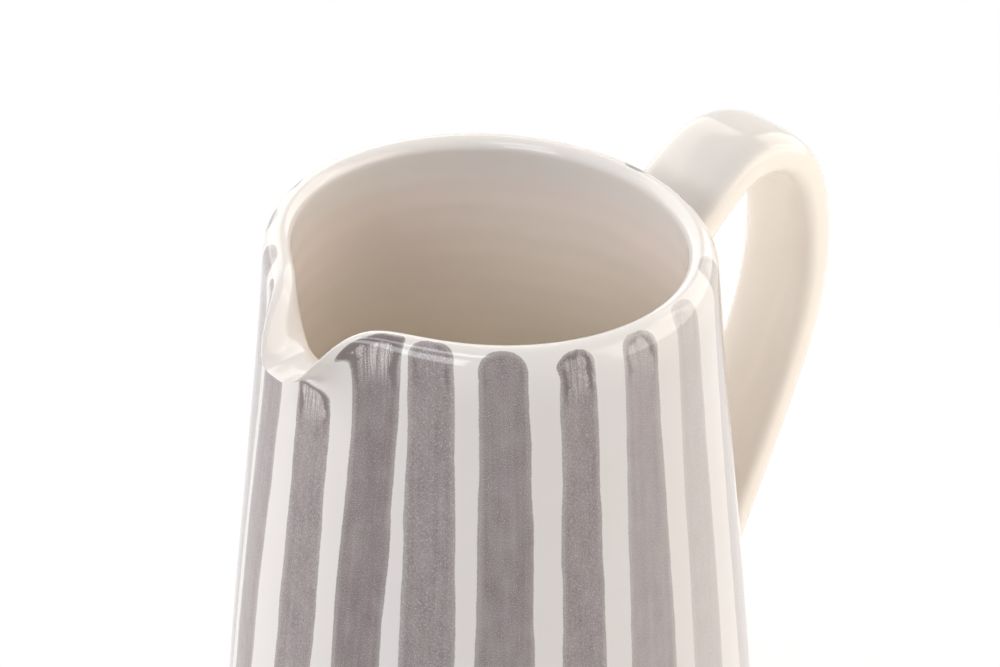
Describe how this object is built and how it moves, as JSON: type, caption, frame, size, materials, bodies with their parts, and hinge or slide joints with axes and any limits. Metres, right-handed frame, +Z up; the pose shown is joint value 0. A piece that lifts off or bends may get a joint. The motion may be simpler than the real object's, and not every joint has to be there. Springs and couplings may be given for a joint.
{
  "type": "ceramic carafe",
  "caption": "Thrown ceramic jug with a tapering wall, an oval mouth with a pulled pouring spout and a strap handle, glazed ivory with brushed grey-brown stripes.",
  "frame": {"origin": "centre of the flat base, on the surface that the jug stands on", "axes": "+Z up along the jug's axis, +X towards the handle, so that the spout points along -X"},
  "size_m": [0.151, 0.124, 0.2086],
  "materials": {
    "painted_glaze": "gloss",
    "plain_glaze": "gloss"
  },
  "bodies": {
    "root": {"body": "painted_glaze", "handle": "plain_glaze", "upper_slip_join": "plain_glaze", "lower_slip_join": "plain_glaze"}
  },
  "joints": []
}
